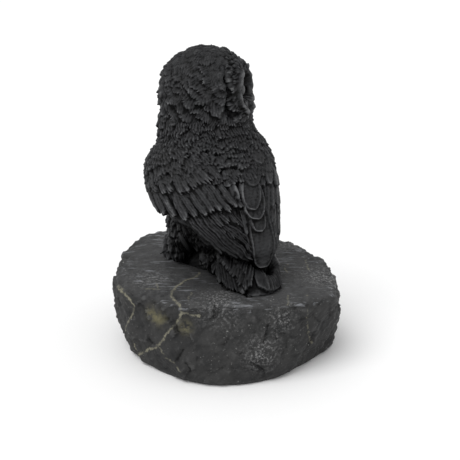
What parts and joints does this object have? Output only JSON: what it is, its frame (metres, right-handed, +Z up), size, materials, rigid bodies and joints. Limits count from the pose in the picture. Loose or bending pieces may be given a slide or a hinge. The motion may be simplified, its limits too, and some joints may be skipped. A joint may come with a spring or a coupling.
{
  "type": "owl figurine",
  "caption": "Owl figurine with its head turned over its shoulder and its wings folded, perched on a thick slab of rough stone with a sawn flat top.",
  "frame": {"origin": "middle of the rock's flat underside", "axes": "+Z up; the owl's breast faces -Y, its tail points to +Y and its left side is +X"},
  "size_m": [0.0874, 0.0914, 0.1155],
  "materials": {
    "cast_stone": "satin",
    "rough_stone": "matte"
  },
  "bodies": {
    "root": {"owl_figurine": "cast_stone", "stone_base": "rough_stone"}
  },
  "joints": []
}
